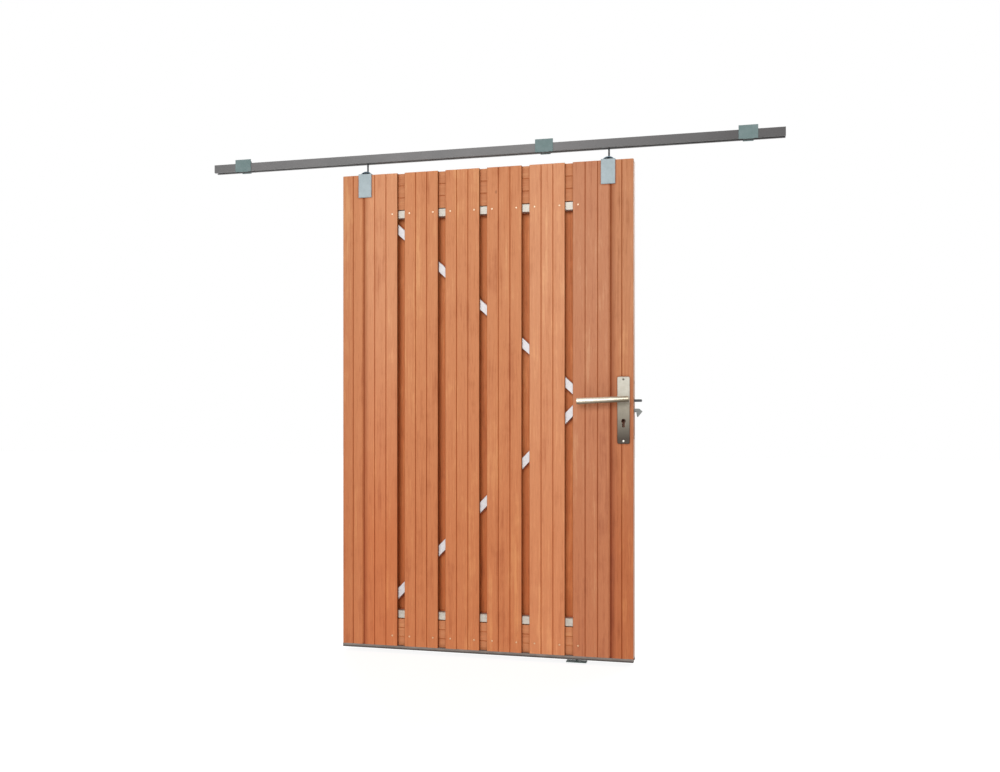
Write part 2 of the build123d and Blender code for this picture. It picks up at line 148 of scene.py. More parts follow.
@dataclass(frozen=True)
class Finish:
    """What every finish has: a material with a Principled shader that it fills in, and its fades."""

    name: str
    fades: tuple[Fade, ...] = ()

    def start(self) -> tuple[Material, NodeTree, Node]:
        """Makes the empty material.

        Returns:
            The material, its node tree and its Principled shader.
        """
        material = bpy.data.materials.new(self.name)
        material.use_nodes = True
        tree = material.node_tree
        shader = tree.nodes["Principled BSDF"]
        return material, tree, shader

    @staticmethod
    def object_place(tree: NodeTree, size_mm: float, stretch: Triple = (1.0, 1.0, 1.0),
                     shift: Triple = (0.0, 0.0, 0.0)) -> NodeSocket:
        """Object coordinates, scaled for a pattern.

        Args:
            tree: The node tree to add to.
            size_mm: The pattern's size.
            stretch: What multiplies the scale in each direction, below 1 to draw the pattern out.
            shift: How far the pattern is moved.

        Returns:
            The vector socket.
        """
        place = add_node(tree, "ShaderNodeTexCoord")
        scale = tuple(part / (size_mm * MM) for part in stretch)
        mapping = add_node(tree, "ShaderNodeMapping",
                           {"Vector": place.outputs["Object"], "Scale": scale, "Location": shift})
        return mapping.outputs["Vector"]

    @staticmethod
    def tinted(tree: NodeTree, colour: NodeSocket, value: NodeSocket, start: float, end: float,
               tint: str) -> NodeSocket:
        """Multiplies a colour by a tint, more and more as a value runs from start to end.

        Args:
            tree: The node tree to add to.
            colour: The colour before.
            value: What drives the tint.
            start: The value that gives none of the tint.
            end: The value that gives all of it.
            tint: The tint.

        Returns:
            The colour after.
        """
        share = add_node(tree, "ShaderNodeMapRange", {"Value": value, "From Min": start, "From Max": end})
        mixed = add_node(tree, "ShaderNodeMix", {
            "Factor": share.outputs["Result"], 6: colour, 7: linear(tint)},
            data_type="RGBA", blend_type="MULTIPLY")
        return mixed.outputs[2]

    def faded(self, tree: NodeTree, colour: NodeSocket) -> NodeSocket:
        """Darkens a colour along each of the finish's fades.

        Args:
            tree: The node tree to add to.
            colour: The colour before.

        Returns:
            The colour after.
        """
        for fade in self.fades:
            place = add_node(tree, "ShaderNodeTexCoord")
            parts = add_node(tree, "ShaderNodeSeparateXYZ", {"Vector": place.outputs["Object"]})
            along = parts.outputs[fade.axis.name]
            colour = self.tinted(tree, colour, along, fade.start, fade.end, fade.tint)
        return colour


@dataclass(frozen=True)
class Tone:
    """The three colours that one plank's grain runs through."""

    pale: str
    middle: str
    deep: str


class Plank(Enum):
    """The tones that sawn bangkirai comes in, from yellow-brown to pinkish red."""

    HONEY = Tone("E3A577", "D49066", "BB724B")
    GOLDEN = Tone("DF9F6D", "D1895C", "B66B43")
    AMBER = Tone("DA9967", "CC8457", "B1663D")
    ROSE = Tone("D29972", "C17F5A", "A76343")
    RUSSET = Tone("D29567", "C17F56", "A05F38")
    # Chestnut is the back boards' own wood, in a redder tone that also stands as painted warm light where
    # they show through the gaps.
    CHESTNUT = Tone("EA975C", "D47E48", "AA5A2E")


@dataclass(frozen=True)
class OiledHardwood(Finish):
    """Bangkirai, planed, grooved and oiled: reddish brown with straight streaks and a low satin gloss."""

    tone: Tone = Plank.AMBER.value
    along: Axis = Axis.Z
    shift: float = 0.0
    figure_mm: float = 48.0
    # Real pores are under 1 mm wide, and are drawn 3 mm wide so that they show at the camera's distance.
    pore_mm: float = 3.0
    streak_mm: float = 9.0
    blotch_mm: float = 70.0
    knot_spacing_mm: float = 150.0
    knot_share: float = 0.02
    knotty_cells: float = 0.45
    knot_tint: str = "9A5A38"
    # Painted shade in grooves and corners: its reach, its tint, and the occlusion values where it starts and
    # where it is full.
    crease_shade_mm: float = 11.0
    crease_shade_tint: str = "E0C9B3"
    crease_shade_start: float = 0.96
    crease_shade_end: float = 0.72
    grain_length: float = 34.0
    pore_length: float = 20.4
    figure_length: float = 16.0
    patch_length: float = 1.6
    end_tint: str = "9A6A4E"
    end_steepness: float = 0.9
    dull: float = 0.66
    glossy: float = 0.5
    specular: float = 0.3

    def drawn_out(self, length: float) -> Triple:
        """The stretch that makes a pattern so many times longer along the grain."""
        return (1.0, 1.0, 1 / length) if self.along is Axis.Z else (1 / length, 1.0, 1.0)

    def noise(self, tree: NodeTree, size_mm: float, length: float, **inputs: float) -> NodeSocket:
        """A noise drawn out along the grain.

        Args:
            tree: The node tree to add to.
            size_mm: The pattern's size across the grain.
            length: How many times longer it is along the grain.
            inputs: Values of the noise's own inputs.

        Returns:
            The noise's factor socket.
        """
        offset = (self.shift, self.shift * 0.37, self.shift * 1.7)
        place = self.object_place(tree, size_mm, self.drawn_out(length), offset)
        return add_node(tree, "ShaderNodeTexNoise", {"Vector": place, "Scale": 1.0, **inputs}).outputs["Fac"]

    def knots(self, tree: NodeTree) -> NodeSocket:
        """A mask of the few small knots.

        Args:
            tree: The node tree to add to.

        Returns:
            A socket that is 1 in a knot and 0 elsewhere.
        """
        offset = (self.shift * 3.1, self.shift, self.shift * 2.3)
        place = self.object_place(tree, self.knot_spacing_mm, self.drawn_out(self.patch_length), offset)
        cells = add_node(tree, "ShaderNodeTexVoronoi", {"Vector": place, "Scale": 1.0})
        near = add_node(tree, "ShaderNodeMapRange", {
            "Value": cells.outputs["Distance"], "From Min": self.knot_share,
            "From Max": self.knot_share * 2.4, "To Min": 1.0, "To Max": 0.0})
        cell = add_node(tree, "ShaderNodeSeparateColor", {"Color": cells.outputs["Color"]})
        few = add_node(tree, "ShaderNodeMath", {
            0: cell.outputs["Red"], 1: self.knotty_cells}, operation="LESS_THAN")
        both = add_node(tree, "ShaderNodeMath", {
            0: near.outputs["Result"], 1: few.outputs[0]}, operation="MULTIPLY")
        return both.outputs[0]

    def build(self) -> Material:
        """Builds the wood.

        Returns:
            The material.
        """
        material, tree, shader = self.start()
        pale, middle, deep = self.tone.pale, self.tone.middle, self.tone.deep
        figure = self.noise(tree, self.figure_mm, self.figure_length, Detail=3.0, Roughness=0.5)
        streaks = self.noise(tree, self.streak_mm, self.grain_length, Detail=4.0, Roughness=0.66)
        pores = self.noise(tree, self.pore_mm, self.pore_length, Detail=3.0, Roughness=0.7)
        blotches = self.noise(tree, self.blotch_mm, self.patch_length, Detail=5.0, Roughness=0.62)
        drawn = add_node(tree, "ShaderNodeMix", {0: 0.5, 2: figure, 3: streaks})
        toned = add_node(tree, "ShaderNodeMix", {0: 0.3, 2: drawn.outputs[0], 3: blotches})
        colour = add_node(tree, "ShaderNodeValToRGB", {"Fac": toned.outputs[0]}, stops=(
            (0.34, deep), (0.47, middle), (0.53, middle), (0.63, pale))).outputs["Color"]
        pore_mask = add_node(tree, "ShaderNodeMapRange", {
            "Value": pores, "From Min": 0.3, "From Max": 0.47, "To Min": 0.42, "To Max": 0.0})
        dark = add_node(tree, "ShaderNodeMix", {
            "Factor": pore_mask.outputs["Result"], 6: colour, 7: linear(deep)}, data_type="RGBA")
        fleck_mask = add_node(tree, "ShaderNodeMapRange", {
            "Value": pores, "From Min": 0.6, "From Max": 0.72, "To Max": 0.45})
        flecked = add_node(tree, "ShaderNodeMix", {
            "Factor": fleck_mask.outputs["Result"], 6: dark.outputs[2], 7: linear(pale)}, data_type="RGBA")
        knotted = add_node(tree, "ShaderNodeMix", {
            "Factor": self.knots(tree), 6: flecked.outputs[2], 7: linear(self.knot_tint)}, data_type="RGBA")
        # The sawn ends, which look along the grain, drink more oil.
        surface = add_node(tree, "ShaderNodeNewGeometry")
        facing = add_node(tree, "ShaderNodeSeparateXYZ", {"Vector": surface.outputs["Normal"]})
        steep = add_node(tree, "ShaderNodeMath", {0: facing.outputs[self.along.name]}, operation="ABSOLUTE")
        end = add_node(tree, "ShaderNodeMath", {
            0: steep.outputs[0], 1: self.end_steepness}, operation="GREATER_THAN")
        whole = add_node(tree, "ShaderNodeMix", {
            "Factor": end.outputs[0], 6: self.faded(tree, knotted.outputs[2]),
            7: linear(self.end_tint)}, data_type="RGBA")
        # Painted shade in the grooves and corners, darkest where the least light reaches.
        open_sky = add_node(tree, "ShaderNodeAmbientOcclusion", {"Distance": self.crease_shade_mm * MM}, samples=6)
        crease_shaded = self.tinted(tree, whole.outputs[2], open_sky.outputs["AO"],
                            self.crease_shade_start, self.crease_shade_end, self.crease_shade_tint)
        tree.links.new(crease_shaded, shader.inputs["Base Color"])
        gloss = add_node(tree, "ShaderNodeMapRange", {
            "Value": streaks, "From Min": 0.3, "From Max": 0.7, "To Min": self.dull, "To Max": self.glossy})
        tree.links.new(gloss.outputs["Result"], shader.inputs["Roughness"])
        fine = add_node(tree, "ShaderNodeBump", {"Height": pores, "Strength": 0.4, "Distance": 0.6 * MM})
        coarse = add_node(tree, "ShaderNodeBump", {
            "Height": streaks, "Strength": 0.3, "Distance": 1.2 * MM, "Normal": fine.outputs["Normal"]})
        tree.links.new(coarse.outputs["Normal"], shader.inputs["Normal"])
        shader.inputs["Specular IOR Level"].default_value = self.specular
        return material


@dataclass(frozen=True)
class Metal(Finish):
    """A metal or painted metal with fine mottling, faint brushing and an edge tone: brighter where edges are
    rubbed, and on the hanger sheet a border of painted shade.
    """

    light: str = "9A9A9A"
    dark: str = "808080"
    edge_wear_and_shade: str = "B4B4B4"
    metallic: float = 0.0
    roughness: float = 0.45
    spread: float = 0.1
    patch_mm: float = 18.0
    grit_mm: float = 0.8
    brush: Triple = (1.0, 1.0, 1.0)
    bump_mm: float = 0.12
    edge_mm: float = 0.9
    edge_strength: float = 0.5
    # Painted shade on downward faces, from the normal's Z at its start to its end.
    underside_shade: str | None = None
    underside_shade_start: float = 0.1
    underside_shade_end: float = -0.6

    def build(self) -> Material:
        """Builds the metal.

        Returns:
            The material.
        """
        material, tree, shader = self.start()
        patches = add_node(tree, "ShaderNodeTexNoise", {
            "Vector": self.object_place(tree, self.patch_mm),
            "Scale": 1.0, "Detail": 4.0, "Roughness": 0.6})
        scratches = add_node(tree, "ShaderNodeTexNoise", {
            "Vector": self.object_place(tree, self.grit_mm, self.brush), "Scale": 0.5, "Detail": 2.0})
        blend = add_node(tree, "ShaderNodeMix", {
            0: 0.3, 2: patches.outputs["Fac"], 3: scratches.outputs["Fac"]})
        colour = add_node(tree, "ShaderNodeValToRGB", {"Fac": blend.outputs[0]}, stops=(
            (0.38, self.dark), (0.62, self.light))).outputs["Color"]
        rounded = add_node(tree, "ShaderNodeBevel", {"Radius": self.edge_mm * MM}, samples=4)
        surface = add_node(tree, "ShaderNodeNewGeometry")
        turned = add_node(tree, "ShaderNodeVectorMath", {
            0: rounded.outputs["Normal"], 1: surface.outputs["Normal"]}, operation="DOT_PRODUCT")
        edge = add_node(tree, "ShaderNodeMapRange", {
            "Value": turned.outputs["Value"], "From Min": 0.97, "From Max": 0.8,
            "To Min": 0.0, "To Max": self.edge_strength})
        colour = self.faded(tree, colour)
        if self.underside_shade:
            # Painted shade on the faces that look down.
            facing = add_node(tree, "ShaderNodeSeparateXYZ", {"Vector": surface.outputs["Normal"]})
            colour = self.tinted(tree, colour, facing.outputs["Z"],
                                 self.underside_shade_start, self.underside_shade_end, self.underside_shade)
        # Edges take the edge tone: real rubbed wear on most metals, and a border of painted shade on the
        # hanger sheet.
        edge_toned = add_node(tree, "ShaderNodeMix", {
            "Factor": edge.outputs["Result"], 6: colour, 7: linear(self.edge_wear_and_shade)}, data_type="RGBA")
        tree.links.new(edge_toned.outputs[2], shader.inputs["Base Color"])
        rough = add_node(tree, "ShaderNodeMapRange", {
            "Value": blend.outputs[0], "From Min": 0.35, "From Max": 0.65,
            "To Min": self.roughness - self.spread, "To Max": self.roughness + self.spread})
        tree.links.new(rough.outputs["Result"], shader.inputs["Roughness"])
        bump = add_node(tree, "ShaderNodeBump", {
            "Height": scratches.outputs["Fac"], "Strength": 0.3, "Distance": self.bump_mm * MM,
            "Normal": rounded.outputs["Normal"]})
        tree.links.new(bump.outputs["Normal"], shader.inputs["Normal"])
        shader.inputs["Metallic"].default_value = self.metallic
        return material


@dataclass(frozen=True)
class Spangle(Finish):
    """Hot-dip galvanised steel: pale grey with faint crystal spangles a few millimetres across."""

    light: str = "CFCABF"
    dark: str = "B9B4A8"
    spangle_mm: float = 7.0
    roughness: float = 0.42
    metallic: float = 0.2
    edge_mm: float = 1.0
    bump_mm: float = 0.4

    def build(self) -> Material:
        """Builds the zinc.

        Returns:
            The material.
        """
        material, tree, shader = self.start()
        place = self.object_place(tree, self.spangle_mm)
        cells = add_node(tree, "ShaderNodeTexVoronoi", {"Vector": place, "Scale": 1.0})
        clouds = add_node(tree, "ShaderNodeTexNoise", {"Vector": place, "Scale": 0.3, "Detail": 4.0})
        shade = add_node(tree, "ShaderNodeSeparateColor", {"Color": cells.outputs["Color"]})
        blend = add_node(tree, "ShaderNodeMix", {
            0: 0.6, 2: shade.outputs["Red"], 3: clouds.outputs["Fac"]})
        colour = add_node(tree, "ShaderNodeValToRGB", {"Fac": blend.outputs[0]}, stops=(
            (0.2, self.dark), (0.75, self.light))).outputs["Color"]
        tree.links.new(colour, shader.inputs["Base Color"])
        rough = add_node(tree, "ShaderNodeMapRange", {
            "Value": blend.outputs[0], "To Min": self.roughness - 0.1, "To Max": self.roughness + 0.12})
        tree.links.new(rough.outputs["Result"], shader.inputs["Roughness"])
        rounded = add_node(tree, "ShaderNodeBevel", {"Radius": self.edge_mm * MM}, samples=4)
        bump = add_node(tree, "ShaderNodeBump", {
            "Height": clouds.outputs["Fac"], "Strength": 0.12, "Distance": self.bump_mm * MM,
            "Normal": rounded.outputs["Normal"]})
        tree.links.new(bump.outputs["Normal"], shader.inputs["Normal"])
        shader.inputs["Metallic"].default_value = self.metallic
        return material


@dataclass(frozen=True)
class Rubber(Finish):
    """Moulded black rubber or nylon: nearly black, dull, with a fine moulded texture."""

    light: str = "2C2C2E"
    dark: str = "1B1B1C"
    grit_mm: float = 0.9
    bump_mm: float = 0.2
    roughness: float = 0.6

    def build(self) -> Material:
        """Builds the rubber.

        Returns:
            The material.
        """
        material, tree, shader = self.start()
        noise = add_node(tree, "ShaderNodeTexNoise", {
            "Vector": self.object_place(tree, self.grit_mm), "Scale": 1.0, "Detail": 3.0})
        colour = add_node(tree, "ShaderNodeValToRGB", {"Fac": noise.outputs["Fac"]}, stops=(
            (0.35, self.dark), (0.65, self.light))).outputs["Color"]
        tree.links.new(colour, shader.inputs["Base Color"])
        bump = add_node(tree, "ShaderNodeBump", {
            "Height": noise.outputs["Fac"], "Strength": 0.2, "Distance": self.bump_mm * MM})
        tree.links.new(bump.outputs["Normal"], shader.inputs["Normal"])
        shader.inputs["Roughness"].default_value = self.roughness
        return material


def deselect() -> None:
    """Leaves nothing selected and no object in edit mode."""
    if bpy.context.object and bpy.context.object.mode != "OBJECT":
        bpy.ops.object.mode_set(mode="OBJECT")
    bpy.ops.object.select_all(action="DESELECT")


def take(obj: Object) -> None:
    """Makes one object the only selected and active one."""
    deselect()
    obj.select_set(True)
    bpy.context.view_layer.objects.active = obj


def settle(obj: Object, name: str) -> Object:
    """Names a piece and moves its place, turn and scale into its mesh.

    Args:
        obj: The piece.
        name: The piece's name.

    Returns:
        The same object.
    """
    take(obj)
    obj.name = name
    bpy.ops.object.transform_apply(location=True, rotation=True, scale=True)
    return obj


def edit_all(obj: Object) -> None:
    """Goes to edit mode with the whole of one piece selected."""
    take(obj)
    bpy.ops.object.mode_set(mode="EDIT")
    bpy.ops.mesh.select_all(action="SELECT")


def leave_edit() -> None:
    """Goes back to object mode."""
    bpy.ops.object.mode_set(mode="OBJECT")


def finish_mesh(obj: Object) -> Object:
    """Merges doubles, turns faces outwards and smooths by angle.

    Args:
        obj: The piece.

    Returns:
        The same object.
    """
    edit_all(obj)
    bpy.ops.mesh.remove_doubles(threshold=SAME_PLACE)
    bpy.ops.mesh.normals_make_consistent(inside=False)
    leave_edit()
    bpy.ops.object.shade_smooth_by_angle(angle=SMOOTH_ANGLE)
    return obj


def add_modifier(obj: Object, kind: str, **settings) -> None:
    """Adds a modifier, sets it and applies it.

    Args:
        obj: The piece.
        kind: The modifier's type, such as BEVEL.
        settings: Properties of the modifier.
    """
    take(obj)
    modifier = obj.modifiers.new(kind.title(), kind)
    for name, value in settings.items():
        setattr(modifier, name, value)
    bpy.ops.object.modifier_apply(modifier=modifier.name)


def pick_faces(obj: Object, test: Callable[[Vector, Vector], bool]) -> None:
    """Goes to edit mode with only the faces that pass a test selected.

    Args:
        obj: The piece.
        test: Takes a face's centre and normal.
    """
    take(obj)
    bpy.ops.object.mode_set(mode="EDIT")
    bpy.ops.mesh.select_mode(type="FACE")
    bpy.ops.mesh.select_all(action="DESELECT")
    mesh = bmesh.from_edit_mesh(obj.data)
    for face in mesh.faces:
        face.select = test(face.calc_center_median(), face.normal)
    mesh.select_flush_mode()
    bmesh.update_edit_mesh(obj.data)


def lay(obj: Object, axis: Axis, towards: int) -> None:
    """Turns a piece that was made along +Z to lie along X or Y.

    Args:
        obj: The piece.
        axis: The direction it is laid along.
        towards: 1 for the positive direction, -1 for the negative.
    """
    quarter = math.pi / 2 * towards
    obj.rotation_euler = (-quarter, 0, 0) if axis is Axis.Y else (0, quarter, 0)


def joined(name: str, pieces: Sequence[Object]) -> Object:
    """Joins pieces into one.

    Args:
        name: The name of the result.
        pieces: The pieces, of which the first takes in the others.

    Returns:
        The joined piece.
    """
    deselect()
    for piece in pieces:
        piece.select_set(True)
    bpy.context.view_layer.objects.active = pieces[0]
    if len(pieces) > 1:
        bpy.ops.object.join()
    return settle(bpy.context.object, name)


def dress(piece: Object, material: Material) -> None:
    """Gives a finished piece its material and its body, which for all of them is the leaf.

    Args:
        piece: The piece.
        material: Its material.
    """
    piece.data.materials.clear()
    piece.data.materials.append(material)
    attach(piece, "leaf")
    LOG.info("%s rides on the leaf", piece.name)


def repaint(names: Iterable[str], material: Material) -> None:
    """Gives CAD nodes a material without changing them.

    Args:
        names: The nodes.
        material: Their material.
    """
    for name in names:
        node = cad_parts[name]
        for index in range(len(node.material_slots)):
            node.material_slots[index].material = material
        LOG.info("%s is dressed", name)


def middle_of(name: str) -> Vector:
    """The middle of a CAD node's box."""
    low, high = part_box(name)
    return (low + high) / 2


class Finishes:
    """All the finishes of the gate, each built once."""

    def __init__(self) -> None:
        """Builds each finish."""
        neck = middle_of("spindle")
        plate_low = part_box("backplate_front")[0].z
        lever_low, lever_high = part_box("lever_front")
        channel_low, channel_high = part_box("bottom_channel")
        rail_low, rail_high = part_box("rail")
        # Powder-coated steel: an even dull grey with edges that are rubbed paler, and painted shade that
        # darkens it to the right and a little towards its left end.
        self.rail = Metal("Grey_powder_coated_rail", light="7E7C7C", dark="6C6B6B", edge_wear_and_shade="8C8A8A",
                          roughness=0.6, patch_mm=260.0, brush=(0.05, 1.0, 1.0), edge_strength=0.35,
                          fades=(Fade(Axis.X, rail_low.x + 1.4, rail_high.x - 0.2, "ADABAB"),
                                 Fade(Axis.X, rail_low.x + 0.9, rail_low.x, "E6E6E6"))).build()
        # Zinc-plated sheet steel: a greenish blue-grey film with soft patches.
        self.bracket = Metal("Zinc_plated_bracket", light="788A8A", dark="647978", edge_wear_and_shade="93A4A3",
                             roughness=0.7, metallic=0.05, patch_mm=26.0).build()
        # Galvanised sheet: pale blue-grey, nearly even, with a thin darker border of painted shade along its
        # edges.
        self.hanger = Metal("Galvanised_hanger_sheet", light="AFBCC0", dark="9DABAF", edge_wear_and_shade="5A6166",
                            roughness=0.65, metallic=0.05, patch_mm=22.0, edge_mm=3.0, edge_strength=0.9).build()
        # Blued steel: a dark oxide, grey and bright-crested on the thread, bluer and smoother on the straps.
        self.bolt = Metal("Blued_steel_thread", light="66686A", dark="474A4C", edge_wear_and_shade="7E8488",
                          roughness=0.4, metallic=0.4, patch_mm=5.0, edge_mm=0.3).build()
        self.saddle = Metal("Blued_steel_saddle", light="5E7482", dark="3B4E5A", edge_wear_and_shade="7C8F9B",
                            roughness=0.42, metallic=0.3, patch_mm=8.0).build()
        # Painted steel: a dull dark green-grey, scuffed paler on its edges.
        self.guide = Metal("Green_grey_painted_floor_guide", light="5B6965", dark="424E4B", edge_wear_and_shade="93A09C",
                           roughness=0.6, patch_mm=12.0).build()
        # Hot-dip galvanised tube: bright zinc with faint crystals, darker and warmer on the frame than on
        # the braces.
        self.frame_zinc = Spangle("Galvanised_frame_tube").build()
        self.brace_zinc = Spangle("Galvanised_brace_tube", light="DCDADB", dark="C9C6C8").build()
        # Mill-finished channel: a dull brownish grey, with painted shade darkening it along its foot.
        foot = Fade(Axis.Z, channel_high.z - 5 * MM, channel_low.z + 3 * MM, "76716C")
        self.channel = Metal("Weathered_channel_steel", light="857B74", dark="6B625C", edge_wear_and_shade="978D86",
                             roughness=0.55, patch_mm=40.0, brush=(0.06, 1.0, 1.0), edge_strength=0.25,
                             fades=(foot,)).build()
        # Brushed stainless steel: warm silver, with painted shade and reflection that darken it below the
        # lever, most towards its foot.
        self.stainless = Metal("Brushed_stainless_plate", light="C6C2B5", dark="B2AD9F", edge_wear_and_shade="D4D0C4",
                               roughness=0.5, metallic=0.25, patch_mm=30.0, grit_mm=0.5,
                               brush=(1.0, 1.0, 0.04), spread=0.06, edge_mm=0.6,
                               fades=(Fade(Axis.Z, neck.z + 10 * MM, plate_low + 20 * MM, "5C5044"),
                                      Fade(Axis.Z, neck.z, neck.z - 16 * MM, "DDD8D0"))).build()
        # The same steel on the lever, polished and paler, with painted shade underneath and towards its
        # right end.
        self.lever = Metal("Brushed_stainless_lever", light="F5EFDE", dark="E4DBC8", edge_wear_and_shade="F8F3E6",
                           roughness=0.3, metallic=0.5, patch_mm=30.0, grit_mm=0.5,
                           brush=(0.04, 1.0, 1.0), spread=0.06, edge_mm=0.6,
                           fades=(Fade(Axis.X, lever_low.x + 60 * MM, lever_high.x, "B5B0A6"),),
                           underside_shade="8A847A").build()
        # Black oxide steel: nearly black, worn to grey on its edges.
        self.black = Metal("Black_oxide_latch", light="3F4143", dark="26282A", edge_wear_and_shade="6A6C6E",
                           roughness=0.42, metallic=0.3, patch_mm=6.0, edge_mm=1.2).build()
        # Hardened steel: a plain mid-grey with a faint sheen.
        self.hook = Metal("Hardened_hook_steel", light="7C7F7D", dark="6A6E6B", edge_wear_and_shade="949692",
                          roughness=0.45, metallic=0.2, patch_mm=9.0).build()
        # Lacquered steel sheet: the red-brown that shows inside the key opening.
        self.case = Metal("Brown_lacquered_lock_case", light="B87A5C", dark="9A5F45", edge_wear_and_shade="C48C70",
                          roughness=0.5, patch_mm=12.0).build()
        # Moulded nylon and rubber: black and dull.
        self.rubber = Rubber("Moulded_black_rubber").build()
        # Stainless screws: bright heads on the lock, and brassy ones sunk in the boards. Painted shade
        # darkens the lock screws towards the lever and the board screws towards the foot.
        self.screw = Metal("Bright_stainless_screw", light="EDE8DE", dark="D6D0C4", edge_wear_and_shade="F2EEE6",
                           roughness=0.3, metallic=0.35, patch_mm=3.0, edge_mm=0.3,
                           fades=(Fade(Axis.Z, plate_low + 40 * MM, neck.z, "7D7A72"),)).build()
        self.board_screw = Metal("Yellow_zinc_screw", light="F8DFC2", dark="E2BC94", edge_wear_and_shade="FBEBD8",
                                 roughness=0.35, metallic=0.3, patch_mm=3.0, edge_mm=0.3,
                                 fades=(Fade(Axis.Z, neck.z, channel_high.z, "DCC8B4"),)).build()


class Fastener:
    """Screws, nuts and threads that are made at the origin, along +Z."""

    @staticmethod
    def pan_head(radius: float, height: float, socket: float) -> Object:
        """A domed screw head with a six-sided socket.

        Args:
            radius: The head's radius.
            height: The head's height.
            socket: The socket's radius.

        Returns:
            The head, standing on z = 0.
        """
        deselect()
        bpy.ops.mesh.primitive_cylinder_add(vertices=18, radius=radius, depth=height * 0.5,
                                            location=(0, 0, height * 0.25))
        head = settle(bpy.context.object, "pan_head_master")
        pick_faces(head, lambda centre, normal: normal.z > 0.9)
        bpy.ops.mesh.inset(thickness=radius * 0.28, depth=height * 0.34)
        bpy.ops.mesh.inset(thickness=radius * 0.3, depth=height * 0.12)
        bpy.ops.mesh.inset(thickness=max(radius * 0.42 - socket, radius * 0.05), depth=0)
        bpy.ops.mesh.inset(thickness=radius * 0.01, depth=-height * 0.45)
        leave_edit()
        return finish_mesh(head)

    @staticmethod
    def slotted_head(radius: float, height: float, slot_width: float, slot_depth: float) -> Object:
        """A low domed screw head with a straight slot.

        Args:
            radius: The head's radius.
            height: The head's height.
            slot_width: The slot's width.
            slot_depth: The slot's depth.

        Returns:
            The head, standing on z = 0, with its slot along X.
        """
        deselect()
        bpy.ops.mesh.primitive_cylinder_add(vertices=28, radius=radius, depth=height * 0.5,
                                            location=(0, 0, height * 0.25))
        head = settle(bpy.context.object, "slotted_head_master")
        for share in (0.16, 0.2):
            pick_faces(head, lambda centre, normal: normal.z > 0.95)
            bpy.ops.mesh.inset(thickness=radius * share, depth=height * 0.25)
            leave_edit()
        half = slot_width / 2
        for offset in (-half, half):
            edit_all(head)
            bpy.ops.mesh.bisect(plane_co=(0, offset, 0), plane_no=(0, 1, 0))
            leave_edit()
        pick_faces(head, lambda centre, normal: normal.z > 0.3 and abs(centre.y) < half * 0.9)
        bpy.ops.mesh.extrude_region_move(TRANSFORM_OT_translate={"value": (0, 0, -slot_depth)})
        leave_edit()
        return finish_mesh(head)

    @staticmethod
    def hex_head(radius: float, height: float, edge: float) -> Object:
        """A hexagon head or nut with a chamfered top.

        Args:
            radius: The radius over corners.
            height: The height.
            edge: The chamfer.

        Returns:
            The head, standing on z = 0.
        """
        deselect()
        bpy.ops.mesh.primitive_cylinder_add(vertices=6, radius=radius, depth=height - edge,
                                            location=(0, 0, (height - edge) / 2))
        head = settle(bpy.context.object, "hex_head_master")
        pick_faces(head, lambda centre, normal: normal.z > 0.9)
        bpy.ops.mesh.inset(thickness=edge * 1.4, depth=edge)
        leave_edit()
        add_modifier(head, "BEVEL", width=edge * 0.35, segments=2, limit_method="ANGLE")
        return finish_mesh(head)

    @staticmethod
    def washer(radius: float, hole: float, thickness: float) -> Object:
        """A flat washer with softened edges.

        Args:
            radius: The outer radius.
            hole: The hole's radius.
            thickness: The thickness.

        Returns:
            The washer, standing on z = 0.
        """
        deselect()
        bpy.ops.mesh.primitive_circle_add(vertices=32, radius=radius, fill_type="NOTHING")
        ring = bpy.context.object
        edit_all(ring)
        bpy.ops.mesh.extrude_edges_move()
        factor = hole / radius
        bpy.ops.transform.resize(value=(factor, factor, 1))
        bpy.ops.mesh.select_all(action="SELECT")
        bpy.ops.mesh.extrude_region_move(TRANSFORM_OT_translate={"value": (0, 0, thickness)})
        leave_edit()
        settle(ring, "washer_master")
        finish_mesh(ring)
        add_modifier(ring, "BEVEL", width=thickness * 0.2, segments=2, limit_method="ANGLE")
        return finish_mesh(ring)

    @staticmethod
    def thread(radius: float, depth: float, pitch: float, length: float) -> Object:
        """A screw thread as one helical surface.

        Args:
            radius: The outer radius.
            depth: The depth of the thread.
            pitch: The rise of one turn.
            length: The length of the thread.

        Returns:
            The thread, rising from z = 0.
        """
        deselect()
        bpy.ops.mesh.primitive_circle_add(vertices=20, radius=radius - depth, fill_type="NGON")
        core = bpy.context.object
        edit_all(core)
        bpy.ops.mesh.extrude_region_move(TRANSFORM_OT_translate={"value": (0, 0, length)})
        leave_edit()
        settle(core, "thread_core")
        finish_mesh(core)
        deselect()
        bpy.ops.mesh.primitive_circle_add(vertices=3, radius=pitch * 0.42, fill_type="NOTHING",
                                          rotation=(math.pi / 2, 0, 0),
                                          location=(radius - depth * 1.1, 0, pitch * 0.5))
        tooth = settle(bpy.context.object, "thread_tooth")
        turns = int(length / pitch) - 1
        add_modifier(tooth, "SCREW", screw_offset=pitch, iterations=turns, steps=20, render_steps=20,
                     axis="Z", use_merge_vertices=True, use_smooth_shade=False)
        pick_faces(tooth, lambda centre, normal: False)
        bpy.ops.mesh.select_mode(type="EDGE")
        bpy.ops.mesh.select_non_manifold()
        bpy.ops.mesh.edge_face_add()
        leave_edit()
        finish_mesh(tooth)
        return joined("thread_master", [core, tooth])

